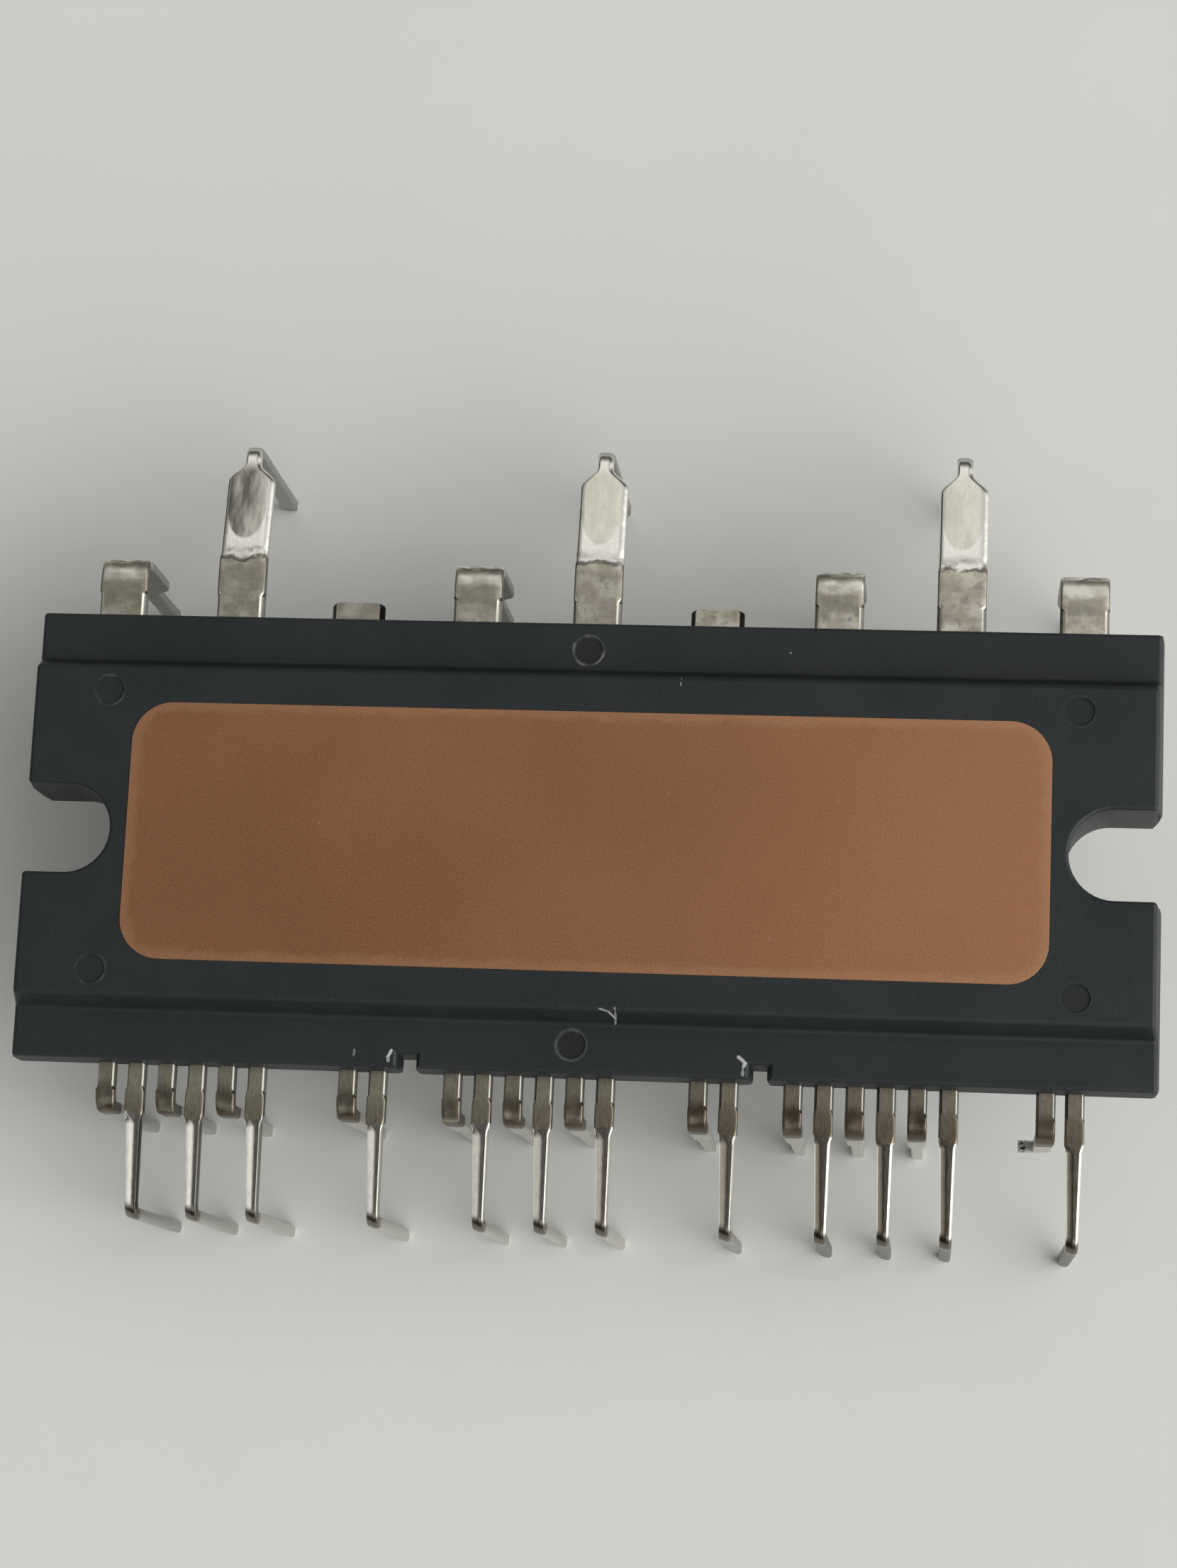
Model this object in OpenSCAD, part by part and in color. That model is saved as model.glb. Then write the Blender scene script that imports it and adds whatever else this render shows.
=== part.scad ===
// Intelligent power module: three half bridges moulded in one dual-in-line package.
// X runs along the package, +Y to the power leads, +Z out of the copper heat-spreader face.
// The origin is the middle of that copper face, midway between the two screw slots.

/* [Moulded body] */
// Length over the two ends, at the parting line
body_l = 47.4; // [46.8:0.1:52]
// Width over the two long edges, at the parting line
body_w = 19.2; // [18.8:0.1:21]
// Thickness from the copper side to the plain side
body_t = 4.4; // [4.2:0.1:6]
// Depth of the parting line, which is also the middle of the lead frame
parting_z = 2.2; // [2:0.05:2.5]
// Draft of every outer wall, away from the parting line (degrees)
wall_draft = 8; // [3:1:10]
// Radius of the four corners seen from above
corner_r = 0.4; // [0.2:0.05:0.8]
// Width of the raised plateau round the copper
plateau_w = 13.9; // [13:0.1:15]
// Drop from the plateau to the two long flanges
step_h = 1.2; // [0.6:0.05:1.4]
// Sideways run of the sloped step
step_run = 0.45; // [0.2:0.05:0.8]

/* [Screw slots and notches] */
// Width of the open screw slot in each end
slot_w = 3.75; // [3.2:0.05:4]
// Distance between the centres of the two slot roots
slot_spacing = 43.4; // [43:0.1:44.4]
// Radius on the two lips of a slot
slot_lip_r = 0.25; // [0.1:0.05:0.4]
// Width of the creepage notches in the signal edge, at the parting line
notch_w = 0.56; // [0.4:0.02:0.8]
// Depth of a creepage notch at the parting line
notch_d = 0.57; // [0.4:0.01:0.9]
// Radius on the two lips of a notch
notch_lip_r = 0.3; // [0.1:0.05:0.4]
// Place of the notch between groups one and two
notch_1_x = -6.97; // [-7.3:0.01:-6.5]
// Place of the notch between groups two and three
notch_2_x = 7.54; // [7.3:0.01:7.7]

/* [Ejector marks] */
// Diameter of an ejector mark
mark_d = 1.2; // [0.8:0.1:1.6]
// Depth of an ejector mark
mark_depth = 0.08; // [0.04:0.01:0.2]
// Distance along the package between the plateau marks
mark_span_x = 40.4; // [40:0.1:41]
// Distance across the package between the plateau marks
mark_span_y = 11.8; // [11:0.1:12.2]
// Distance across the package between the flange marks
flange_mark_span = 16.6; // [16.4:0.1:16.8]
// Place of the flange marks along the package
flange_mark_x = -0.2; // [-1:0.05:1]

/* [Heat spreader and insulation] */
// Length of the exposed copper face
copper_l = 38.2; // [37:0.1:38.6]
// Width of the exposed copper face
copper_w = 10.85; // [10.6:0.05:12]
// Corner radius of the exposed copper face
copper_r = 1.7; // [0.8:0.1:2.5]
// How far the copper stands proud of the plateau
copper_proud = 0.03; // [0.01:0.01:0.08]
// Width of the locking lip along each long side of the copper, inside the moulding
lock_lip = 0.4; // [0.2:0.05:0.6]
// Thickness of that locking lip
lock_t = 0.8; // [0.4:0.05:1]
// Thickness of the insulating sheet between the copper and the lead frame
sheet_t = 0.2; // [0.1:0.02:0.3]

/* [Lead frame] */
// Thickness of the lead-frame metal
lead_t = 0.5; // [0.4:0.02:0.6]
// Inside radius of the lead bends
bend_r = 0.3; // [0.2:0.05:0.5]
// Depth of the lead tips below the copper face
tip_z = 12; // [10:0.1:14]
// Depth at which the wide part of an inner-row lead ends
shoulder_z = 6.1; // [5:0.1:7]
// Length of the sheared edges that the cut dam bar leaves beside the body
dam_l = 1; // [0.6:0.05:1.2]
// Depth of those sheared edges, as a share of the metal's thickness
dam_bevel = 0.6; // [0.3:0.05:0.8]
// Slope of the outer-row leads between their two bends (degrees)
outer_slope = 9; // [4:1:12]
// Length of a return lead's finger inside the moulding
finger_l = 1.6; // [1:0.1:2]

/* [Power leads] */
// Spacing of the power leads
power_pitch = 5.1; // [4.8:0.05:5.2]
// Width of a power lead
power_w = 2.05; // [1.6:0.05:2.2]
// Width of the sheared edge on each side of a power lead
power_bevel = 0.2; // [0.1:0.02:0.3]
// Width of a power lead's tail
power_neck_w = 0.68; // [0.5:0.02:1]
// Length of the bottle-shaped shoulder
shoulder_l = 0.9; // [0.5:0.05:1.2]
// Distance from the centre line to the outside of the inner power row
power_inner_y = 12.25; // [11.9:0.05:12.8]
// Distance from the centre line to the outside of the outer power row
power_outer_y = 17.55; // [16.8:0.05:18.5]
// Length of the neck before the tail of an outer power lead turns down
power_neck_l = 0.1; // [0.05:0.05:0.6]
// Length of a trimmed power lead outside the moulding
stub_l = 0.75; // [0.4:0.05:1]
// Width of a trimmed power lead
stub_w = 2.25; // [2:0.05:2.4]

/* [Signal leads] */
// Spacing of neighbouring signal leads
signal_pitch = 1.27; // [1.2:0.01:1.3]
// Empty places before the last pair of each group of leads
pair_skip = 2; // [1:1:2]
// Place of the first lead of group one
group_1_x = -19.7; // [-20:0.05:-19.4]
// Place of the first lead of group two
group_2_x = -5.15; // [-5.4:0.05:-5]
// Place of the first lead of group three
group_3_x = 8.9; // [8.8:0.05:9.1]
// Length of a signal lead's finger inside the moulding
signal_finger_l = 4.5; // [1:0.1:5]
// Width of a signal lead
signal_w = 0.79; // [0.6:0.01:0.85]
// Width of the sheared edge on each side of a signal lead
signal_bevel = 0.12; // [0.06:0.01:0.16]
// Width of a signal lead's tail
signal_tail_w = 0.5; // [0.4:0.02:0.56]
// Length of the step from full width to tail width
signal_step = 0.3; // [0.15:0.05:0.5]
// Distance from the centre line to the outside of the inner signal row
signal_inner_y = 11.6; // [11.4:0.05:12]
// Distance from the centre line to the outside of the outer signal row
signal_outer_y = 15.95; // [15:0.05:16.6]
// Lead whose tail is bent aside and broken short
bent_lead = 23; // [1:2:23]
// How far the broken tail reaches past the side of its lead
bent_reach = 0.6; // [0.4:0.02:0.9]

/* [Chips inside] */
// Side of a switching transistor chip
switch_side = 2.6; // [2:0.1:2.8]
// Side of a diode chip
diode_side = 2; // [1.6:0.1:2.4]
// Thickness of the power chips
chip_t = 0.2; // [0.1:0.02:0.3]
// Distance between the chips of one switch
chip_gap = 0.8; // [0.4:0.1:1]
// Length of a driver chip
driver_l = 3; // [2:0.1:3.4]
// Width of a driver chip
driver_w = 1.3; // [1:0.1:1.4]
// Clear space between neighbouring islands of the lead frame
island_gap = 0.5; // [0.3:0.05:0.7]
// Margin of a chip island round its chips
island_margin = 0.4; // [0.2:0.05:0.5]
// Wall of moulding between a screw slot and the lead frame inside
slot_wall = 0.5; // [0.3:0.05:0.6]
// Width of the link from the last positive lead to its bus
link_w = 0.85; // [0.5:0.05:0.9]

/* [Hidden] */
$fn = 48;
GROUPS = 3;
GROUP_LEADS = 8;
RUN_LEADS = 6;
POWER_PLACES = 9;
cut = 1;
// How far a tail reaches up into its bend, so that the two join into one piece
weld = 0.002;
draft_tan = tan(wall_draft);
half_w = body_w / 2;
lead_top = -parting_z + lead_t / 2;
lead_bottom = -parting_z - lead_t / 2;
outer_r = bend_r + lead_t;
// Width of an outer signal lead where it leaves the step, from which it narrows to its tail
signal_slope_w = (signal_w + signal_tail_w) / 2;
plate_t = parting_z - lead_t / 2 - sheet_t;
plate_inner_w = copper_w + 2 * lock_lip;
slot_x = slot_spacing / 2;
group_x = [group_1_x, group_2_x, group_3_x];
// Chip rows: the low side sits near the power leads, the high side near the signal leads
switch_length = switch_side + chip_gap + diode_side;
island_l = switch_length + 2 * island_margin;
island_w = switch_side + 2 * island_margin;
low_y = plate_inner_w / 2 - island_w / 2;
high_y = low_y - island_w - island_gap;
driver_y = high_y - island_w / 2 - island_gap - driver_w / 2;

phase_names = [for (p = [1:GROUPS]) str("phase_lead_", p)];
return_names = [for (p = [1:GROUPS]) str("return_lead_", p)];
signal_names = [for (n = [1:GROUPS * GROUP_LEADS]) str("signal_lead_", n < 10 ? "0" : "", n)];
high_switch_names = [for (p = [1:GROUPS]) str("high_transistor_", p)];
low_switch_names = [for (p = [1:GROUPS]) str("low_transistor_", p)];
high_diode_names = [for (p = [1:GROUPS]) str("high_diode_", p)];
low_diode_names = [for (p = [1:GROUPS]) str("low_diode_", p)];
driver_names = [for (p = [1:GROUPS]) str("driver_chip_", p)];

MOULD_COLOUR = "#2e3132";
COPPER_COLOUR = "#8f6446";
TIN_COLOUR = "#a8a497";
SHEET_COLOUR = "#d9d3ba";
CHIP_COLOUR = "#6f7782";

// Power places run from left to right: return, phase and positive lead of each half bridge
function power_x(place) = (place - (POWER_PLACES - 1) / 2) * power_pitch;
function return_x(group) = power_x(3 * group);
function phase_x(group) = power_x(3 * group + 1);
function positive_x(group) = power_x(3 * group + 2);
function signal_slot(k) = k < RUN_LEADS ? k : k + pair_skip;
function signal_x(n) = group_x[floor(n / GROUP_LEADS)] + signal_slot(n % GROUP_LEADS) * signal_pitch;
function is_outer(n) = n % 2 == 1;
function wall_y(depth) = half_w - abs(depth - parting_z) * draft_tan;
function wall_x(depth) = body_l / 2 - abs(depth - parting_z) * draft_tan;

// A left-right symmetrical outline from its right-hand points
function both_sides(points) =
    concat(points, [for (i = [len(points) - 1:-1:0]) [-points[i][0], points[i][1]]]);

// Right-hand points of a smooth change from one width to another
function shoulder(w0, w1, s0, s1, steps = 8) = [
    for (i = [0:steps])
        let (blend = (1 - cos(180 * i / steps)) / 2)
        [(w0 + (w1 - w0) * blend) / 2, s0 + (s1 - s0) * i / steps]
];

module rounded_rect(l, w, r) {
    square([l - 2 * r, w], center = true);
    square([l, w - 2 * r], center = true);
    for (sx = [-1, 1], sy = [-1, 1])
        translate([sx * (l / 2 - r), sy * (w / 2 - r)])
            circle(r);
}

// Part of a ring between two angles that are less than 120 degrees apart
module ring_sector(r_in, r_out, a0, a1) {
    reach = 3 * r_out;
    intersection() {
        difference() {
            circle(r_out);
            circle(r_in);
        }
        polygon([[0, 0], reach * [cos(a0), sin(a0)], reach * [cos(a1), sin(a1)]]);
    }
}

// Carries a side profile, drawn as distance outwards and height, across a width along X
module across(width) {
    rotate([90, 0, 90])
        linear_extrude(width, center = true)
            children();
}

// Carries an outline drawn as X and distance outwards through the full height
module upright() {
    translate([0, 0, -tip_z - cut])
        linear_extrude(tip_z + 2 * cut)
            children();
}

// Carries an outline drawn as X and depth through all distances outwards
module outward() {
    rotate([90, 0, 0])
        mirror([0, 0, 1])
            linear_extrude(power_outer_y + body_w)
                children();
}

// An open-ended slot along +X with a round root at the origin and round lips at x = mouth
module slot_outline(width, mouth, lip_r) {
    circle(width / 2);
    translate([0, -width / 2])
        square([mouth + cut, width]);
    slot_lips(width, mouth, lip_r);
}

// The corners that are cut away on both sides of a slot, so that its lips are round
module slot_lips(width, mouth, lip_r) {
    for (side = [-1, 1])
        translate([mouth, side * (width / 2)])
            difference() {
                translate([-lip_r, min(0, side * lip_r)])
                    square([lip_r + cut, lip_r]);
                translate([-lip_r, side * lip_r])
                    circle(lip_r);
            }
}

// Side profile of a straight lead
module straight_side(from_y, to_y) {
    translate([from_y, lead_bottom])
        square([to_y - from_y, lead_t]);
}

// Side profile of an inner-row lead: straight out, then down at a right angle
module inner_side(from_y, face_y) {
    bend_y = face_y - outer_r;
    bend_z = lead_top - outer_r;
    straight_side(from_y, bend_y);
    translate([bend_y, bend_z])
        ring_sector(bend_r, outer_r, 0, 90);
    translate([face_y - lead_t, -tip_z])
        square([lead_t, bend_z + tip_z]);
}

// Side profile of an outer-row lead: straight out, a gentle slope, then down
module outer_side(from_y, fold_y, face_y) {
    arm = lead_t / 2 + bend_r;
    slope_l = (face_y - outer_r - fold_y + arm * sin(outer_slope)) / cos(outer_slope);
    bend_z = -parting_z - slope_l * sin(outer_slope) - arm * cos(outer_slope);
    straight_side(from_y, fold_y);
    translate([fold_y, -parting_z]) {
        circle(lead_t / 2);
        rotate(-outer_slope) {
            translate([0, -lead_t / 2])
                square([slope_l, lead_t]);
            translate([slope_l, -arm])
                ring_sector(bend_r, outer_r, outer_slope, 90);
        }
    }
    translate([face_y - lead_t, -tip_z])
        square([lead_t, bend_z + tip_z + weld]);
}

// The two slanting edges that the cut dam bar leaves on a lead, from the body outwards
module dam_cuts(width, bevel) {
    start_y = wall_y(parting_z + lead_t / 2) - cut / 4;
    for (side = [-1, 1])
        translate([0, half_w + dam_l, 0])
            rotate([90, 0, 0])
                linear_extrude(half_w + dam_l - start_y)
                    polygon([
                        [side * (width / 2 - bevel), lead_top + lead_t],
                        [side * (width / 2 - bevel), lead_top],
                        [side * width / 2, lead_top - dam_bevel * lead_t],
                        [side * (width / 2 + cut), lead_top - dam_bevel * lead_t],
                        [side * (width / 2 + cut), lead_top + lead_t]
                    ]);
}

module inner_power_lead(from_y) {
    difference() {
        intersection() {
            across(power_w)
                inner_side(from_y, power_inner_y);
            outward()
                polygon(both_sides(concat(
                    [[power_w / 2, cut]],
                    shoulder(power_w, power_neck_w, -shoulder_z, -shoulder_z - shoulder_l),
                    [[power_neck_w / 2, -tip_z - cut]]
                )));
        }
        dam_cuts(power_w, power_bevel);
    }
}

module outer_power_lead(from_y) {
    neck_y = power_outer_y - outer_r - power_neck_l;
    difference() {
        intersection() {
            across(power_w)
                outer_side(from_y, power_inner_y, power_outer_y);
            upright()
                polygon(both_sides(concat(
                    [[power_w / 2, from_y - cut]],
                    shoulder(power_w, power_neck_w, neck_y - shoulder_l, neck_y),
                    [[power_neck_w / 2, power_outer_y + cut]]
                )));
        }
        dam_cuts(power_w, power_bevel);
    }
}

module trimmed_power_lead(from_y) {
    difference() {
        across(stub_w)
            straight_side(from_y, half_w + stub_l);
        dam_cuts(stub_w, power_bevel);
    }
}

module inner_signal_lead(from_y) {
    difference() {
        intersection() {
            across(signal_w)
                inner_side(from_y, signal_inner_y);
            outward()
                polygon(both_sides([
                    [signal_w / 2, cut],
                    [signal_w / 2, -shoulder_z],
                    [signal_tail_w / 2, -shoulder_z - signal_step],
                    [signal_tail_w / 2, -tip_z - cut]
                ]));
        }
        dam_cuts(signal_w, signal_bevel);
    }
}

module outer_signal_lead(from_y) {
    difference() {
        intersection() {
            across(signal_w)
                outer_side(from_y, signal_inner_y, signal_outer_y);
            upright()
                polygon(both_sides([
                    [signal_w / 2, from_y - cut],
                    [signal_w / 2, signal_inner_y],
                    [signal_slope_w / 2, signal_inner_y + signal_step],
                    [signal_tail_w / 2, signal_outer_y - outer_r],
                    [signal_tail_w / 2, signal_outer_y + cut]
                ]));
        }
        dam_cuts(signal_w, signal_bevel);
    }
}

// The damaged lead: below its shoulder the tail is bent aside and broken short
module broken_signal_lead(from_y) {
    bar_z = -shoulder_z - signal_tail_w;
    difference() {
        intersection() {
            across(2 * (signal_w + bent_reach))
                inner_side(from_y, signal_inner_y);
            outward() {
                translate([-signal_w / 2, -shoulder_z])
                    square([signal_w, shoulder_z + cut]);
                translate([-signal_w / 2 - bent_reach, bar_z])
                    square([signal_w / 2 + bent_reach, signal_tail_w]);
                translate([0, -shoulder_z])
                    ring_sector(0, signal_tail_w, -90, 0);
            }
        }
        dam_cuts(signal_w, signal_bevel);
    }
}

// A flat rectangle of lead frame inside the moulding
module island(x, y, l, w) {
    translate([x - l / 2, y - w / 2, lead_bottom])
        cube([l, w, lead_t]);
}

// The island of one half bridge starts beside its return lead
function island_left(group) = return_x(group) + power_w / 2 + island_gap;
function island_x(group) = island_left(group) + island_l / 2;
function switch_chip_x(group) = island_x(group) - switch_length / 2 + switch_side / 2;
function diode_chip_x(group) = island_x(group) + switch_length / 2 - diode_side / 2;

module phase_lead_shape(group) {
    translate([phase_x(group), 0, 0])
        outer_power_lead(low_y);
    island(island_x(group), low_y, island_l, island_w);
}

module return_lead_shape(group) {
    translate([return_x(group), 0, 0])
        inner_power_lead(half_w - finger_l);
}

// A bus under the three high-side switches. Two of its leads are trimmed; the last one
// steps round the screw slot through a narrow link.
module positive_bus_shape() {
    bus_left = island_left(0);
    bus_right = slot_x - slot_w / 2 - slot_wall;
    last_x = positive_x(GROUPS - 1);
    arm_left = bus_right - link_w;
    arm_right = last_x + power_w / 2;
    arm_top = low_y + island_w / 2;
    island((bus_left + bus_right) / 2, high_y, bus_right - bus_left, island_w);
    island(bus_right - link_w / 2, (high_y + arm_top) / 2, link_w, arm_top - high_y);
    island((arm_left + arm_right) / 2, (low_y + arm_top) / 2, arm_right - arm_left, arm_top - low_y);
    for (group = [0:GROUPS - 2])
        translate([positive_x(group), 0, 0])
            trimmed_power_lead(high_y);
    translate([last_x, 0, 0])
        inner_power_lead(low_y);
}

// The third lead of each group carries the driver chip on its inner end
module signal_lead_shape(n) {
    group = floor(n / GROUP_LEADS);
    carries_driver = n % GROUP_LEADS == 2;
    pad_y = driver_y;
    from_y = carries_driver ? -pad_y : half_w - signal_finger_l;
    mirror([0, 1, 0])
        translate([signal_x(n), 0, 0])
            if (n + 1 == bent_lead)
                broken_signal_lead(from_y);
            else if (is_outer(n))
                outer_signal_lead(from_y);
            else
                inner_signal_lead(from_y);
    if (carries_driver)
        island(driver_x(group), pad_y, driver_l, driver_w);
}

function driver_x(group) = signal_x(group * GROUP_LEADS + 2);

module chip(x, y, l, w) {
    translate([x - l / 2, y - w / 2, lead_bottom - chip_t])
        cube([l, w, chip_t]);
}

module high_switch_shape(group) chip(switch_chip_x(group), high_y, switch_side, switch_side);
module low_switch_shape(group) chip(switch_chip_x(group), low_y, switch_side, switch_side);
module high_diode_shape(group) chip(diode_chip_x(group), high_y, diode_side, diode_side);
module low_diode_shape(group) chip(diode_chip_x(group), low_y, diode_side, diode_side);
module driver_shape(group) chip(driver_x(group), driver_y, driver_l, driver_w);

// Exposed copper with a wider locking lip along both long sides underneath
module spreader_shape() {
    translate([0, 0, -plate_t])
        linear_extrude(plate_t)
            rounded_rect(copper_l, copper_w, copper_r);
    translate([-copper_l / 2, -plate_inner_w / 2, -plate_t])
        cube([copper_l, plate_inner_w, lock_t]);
}

module sheet_shape() {
    translate([-copper_l / 2, -plate_inner_w / 2, lead_top])
        cube([copper_l, plate_inner_w, sheet_t]);
}

// The outside of the moulding: two drafted sections and the rounded plan meet
module moulding_blank() {
    top = copper_proud;
    intersection() {
        rotate([90, 0, 90])
            linear_extrude(body_l, center = true)
                polygon(both_sides([
                    [plateau_w / 2, -top],
                    [plateau_w / 2 + step_run, -step_h],
                    [wall_y(step_h), -step_h],
                    [half_w, -parting_z],
                    [wall_y(body_t), -body_t]
                ]));
        rotate([90, 0, 0])
            linear_extrude(body_w, center = true)
                polygon(both_sides([
                    [wall_x(top), -top],
                    [body_l / 2, -parting_z],
                    [wall_x(body_t), -body_t]
                ]));
        upright()
            rounded_rect(body_l, body_w, corner_r);
    }
}

module screw_slots() {
    for (turn = [0, 180])
        rotate(turn)
            translate([slot_x, 0])
                upright()
                    slot_outline(slot_w, body_l / 2 - slot_x, slot_lip_r);
}

// Each notch is narrowest at the parting line and opens with the draft towards both faces
module creepage_notches() {
    rise = parting_z + cut;
    fall = body_t - parting_z + cut;
    root_y = half_w - notch_d;
    for (x = [notch_1_x, notch_2_x])
        translate([x, 0, 0])
            mirror([0, 1, 0]) {
                intersection() {
                    outward()
                        polygon(both_sides([
                            [notch_w / 2 + rise * draft_tan, rise - parting_z],
                            [notch_w / 2, -parting_z],
                            [notch_w / 2 + fall * draft_tan, -fall - parting_z]
                        ]));
                    across(body_w)
                        polygon([
                            [root_y - rise * draft_tan, rise - parting_z],
                            [root_y, -parting_z],
                            [root_y - fall * draft_tan, -fall - parting_z],
                            [half_w + cut, -fall - parting_z],
                            [half_w + cut, rise - parting_z]
                        ]);
                }
                translate([0, half_w])
                    rotate(90)
                        upright()
                            slot_lips(notch_w, 0, notch_lip_r);
            }
}

module ejector_marks() {
    for (sx = [-1, 1], sy = [-1, 1])
        translate([sx * mark_span_x / 2, sy * mark_span_y / 2, -copper_proud - mark_depth])
            cylinder(d = mark_d, h = cut);
    for (sy = [-1, 1])
        translate([flange_mark_x, sy * flange_mark_span / 2, -step_h - mark_depth])
            cylinder(d = mark_d, h = step_h / 2);
}

module mould_body() {
    color(MOULD_COLOUR)
        difference() {
            moulding_blank();
            screw_slots();
            creepage_notches();
            ejector_marks();
            spreader_shape();
            sheet_shape();
            positive_bus_shape();
            for (group = [0:GROUPS - 1]) {
                phase_lead_shape(group);
                return_lead_shape(group);
                high_switch_shape(group);
                low_switch_shape(group);
                high_diode_shape(group);
                low_diode_shape(group);
                driver_shape(group);
            }
            for (n = [0:GROUPS * GROUP_LEADS - 1])
                signal_lead_shape(n);
        }
}

module heat_spreader() color(COPPER_COLOUR) spreader_shape();
module insulating_sheet() color(SHEET_COLOUR) sheet_shape();
module positive_bus() color(TIN_COLOUR) positive_bus_shape();
module phase_lead(group) color(TIN_COLOUR) phase_lead_shape(group);
module return_lead(group) color(TIN_COLOUR) return_lead_shape(group);
module signal_lead(n) color(TIN_COLOUR) signal_lead_shape(n);
module high_transistor(group) color(CHIP_COLOUR) high_switch_shape(group);
module low_transistor(group) color(CHIP_COLOUR) low_switch_shape(group);
module high_diode(group) color(CHIP_COLOUR) high_diode_shape(group);
module low_diode(group) color(CHIP_COLOUR) low_diode_shape(group);
module driver_chip(group) color(CHIP_COLOUR) driver_shape(group);

mould_body();
heat_spreader();
insulating_sheet();
positive_bus();
for (group = [0:GROUPS - 1]) {
    phase_lead(group);
    return_lead(group);
    high_transistor(group);
    low_transistor(group);
    high_diode(group);
    low_diode(group);
    driver_chip(group);
}
for (n = [0:GROUPS * GROUP_LEADS - 1])
    signal_lead(n);
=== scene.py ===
"""Looks of an intelligent power module: dark moulding, bare copper face, tinned leads."""

import math

import bpy
from mathutils import Matrix, Vector, noise


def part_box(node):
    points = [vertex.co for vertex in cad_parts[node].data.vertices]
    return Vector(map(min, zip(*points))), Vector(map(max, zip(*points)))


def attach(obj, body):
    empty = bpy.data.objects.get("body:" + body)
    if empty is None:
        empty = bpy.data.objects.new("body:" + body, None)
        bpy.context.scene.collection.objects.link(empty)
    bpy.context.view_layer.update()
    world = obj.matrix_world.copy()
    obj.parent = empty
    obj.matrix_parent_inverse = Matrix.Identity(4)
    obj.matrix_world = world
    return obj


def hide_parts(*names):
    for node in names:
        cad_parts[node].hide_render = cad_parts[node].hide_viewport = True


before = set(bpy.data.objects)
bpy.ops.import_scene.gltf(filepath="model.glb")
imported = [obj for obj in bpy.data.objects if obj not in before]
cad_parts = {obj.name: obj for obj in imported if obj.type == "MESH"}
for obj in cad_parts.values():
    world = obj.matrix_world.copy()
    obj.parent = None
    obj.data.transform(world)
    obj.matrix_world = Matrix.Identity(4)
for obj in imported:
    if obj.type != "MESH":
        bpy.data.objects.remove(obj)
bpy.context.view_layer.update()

# Sizes in millimetres, as the solids have them
MM = 0.001
HALF_W = 9.6
BODY_T = 4.4
FLANGE_Z = 1.2
EDGE_R = 0.16
LIP_R = 0.3
NOTCHES_X = (-6.97, 7.54)
LEAD_T = 0.5
LEAD_Z = -2.2
BEND_R = 0.3
TIP_Z = -12.0
SHOULDER_Z = -6.1
DAM_L = 1.0
DAM_DEPTH = 0.3
OUTER_SLOPE = math.radians(9)

POWER_W = 2.05
POWER_BEVEL = 0.2
POWER_NECK_W = 0.68
POWER_SHOULDER_L = 0.9
POWER_INNER_Y = 12.25
POWER_OUTER_Y = 17.55
POWER_NECK_L = 0.1
STUB_L = 0.75
STUB_W = 2.25

SIGNAL_W = 0.79
SIGNAL_BEVEL = 0.12
SIGNAL_TAIL_W = 0.5
SIGNAL_SLOPE_W = 0.645
SIGNAL_STEP = 0.3
SIGNAL_INNER_Y = 11.6
SIGNAL_OUTER_Y = 15.95
SIGNAL_FINGER_L = 4.5
SIGNAL_COUNT = 24
BROKEN_LEAD = 23
BROKEN_REACH = 0.6
BROKEN_FILLET = 0.06
BROKEN_EDGE = 0.14
BROKEN_TURN_STEPS = 8

ISLAND_W = 3.4
BUS_RIGHT = 19.325
LINK_W = 0.85
DRIVER_W = 1.3
# A signal lead wider than this has an island for a driver chip
FINGER_MOST_W = 2.0

COPPER_L = 38.2
COPPER_W = 10.85
COPPER_R = 1.7
COPPER_EDGE_R = 0.03
COPPER_PROUD = 0.03

# Edges of the moulding that are rounded: the least angle of any edge and of a notch lip
EDGE_ANGLE = math.radians(32)
LIP_ANGLE = math.radians(60)
# How near a lip is to the notch's middle line, to the wall and to mid-height, and how far below the leads
LIP_REACH_X = 0.9
LIP_REACH_Y = 0.4
LIP_REACH_Z = 1.2
LIP_DROP = 0.3
# How near a rounded edge is to the flanges' top or to the underside, and how far from the copper
FACE_REACH = 0.1
COPPER_CLEAR = 0.2
EDGE_SEGMENTS = 4
# Before edges are rounded, points nearer than this are joined, and faces that meet this flat become one
JOIN_REACH = 0.001
FLAT_ANGLE = math.radians(0.5)

# Ejector marks: centre, strength of the pale ring, how broken it is and how dark the disc is
MARK_D = 1.2
MARK_CLEAR = 0.7 * MARK_D
MARK_X = 20.2
MARK_Y = 5.9
FLANGE_MARK_X = -0.2
FLANGE_MARK_Y = 8.3
MARKS = [((-MARK_X, sy * MARK_Y, -COPPER_PROUD), 0.07, 0.9, 0.1) for sy in (-1, 1)]
MARKS += [((MARK_X, sy * MARK_Y, -COPPER_PROUD), 0.02, 0.6, 0.3) for sy in (-1, 1)]
MARKS += [((FLANGE_MARK_X, FLANGE_MARK_Y, -FLANGE_Z), 0.30, 0.85, 0.5)]
MARKS += [((FLANGE_MARK_X, -FLANGE_MARK_Y, -FLANGE_Z), 0.12, 0.55, 0.6)]

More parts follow.
